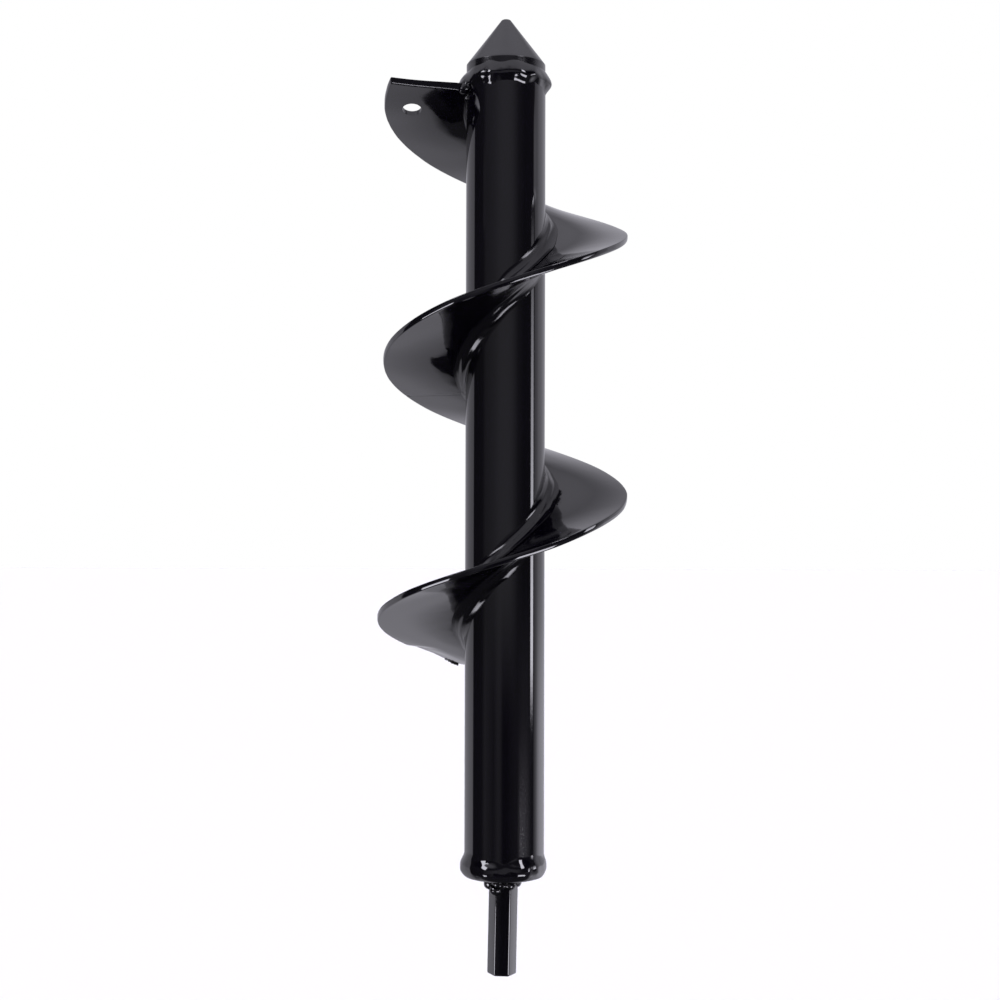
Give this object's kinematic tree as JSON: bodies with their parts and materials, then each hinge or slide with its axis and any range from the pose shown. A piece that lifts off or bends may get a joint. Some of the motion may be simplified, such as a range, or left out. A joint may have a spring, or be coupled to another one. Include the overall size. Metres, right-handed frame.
{
  "type": "soil auger",
  "caption": "Soil auger bit for a hand drill: a round steel tube with a conical point, a right-handed helical flight with a hanging hole, and a hexagonal shank for the chuck.",
  "frame": {"origin": "centre of the hexagonal shank's end face", "axes": "+Z along the tool's axis from the shank's end to the point; -Y is the side the hanging hole's flight end is seen from, with the hole to -X"},
  "size_m": [0.0782, 0.077, 0.3005],
  "materials": {
    "black_paint": "gloss black enamel over steel",
    "painted_bead": "gloss black enamel over a lumpy weld bead",
    "bare_steel": "unpainted steel disc inside the tube's end, painted on its outer face only"
  },
  "bodies": {
    "root": {"core_tube": "black_paint", "tip_cone": "black_paint", "upper_flight": "black_paint", "lower_flight": "black_paint", "hex_shank": "black_paint", "end_plug": "bare_steel", "tip_weld": "painted_bead", "cutting_edge_weld": "painted_bead", "flight_joint_weld": "painted_bead", "upper_top_weld_1": "painted_bead", "upper_top_weld_2": "painted_bead", "upper_under_weld_1": "painted_bead", "upper_under_weld_2": "painted_bead", "lower_top_weld_1": "painted_bead", "lower_top_weld_2": "painted_bead", "lower_under_weld_1": "painted_bead", "lower_under_weld_2": "painted_bead", "tail_weld": "painted_bead", "tube_end_weld": "painted_bead", "shank_weld": "painted_bead"}
  },
  "joints": []
}
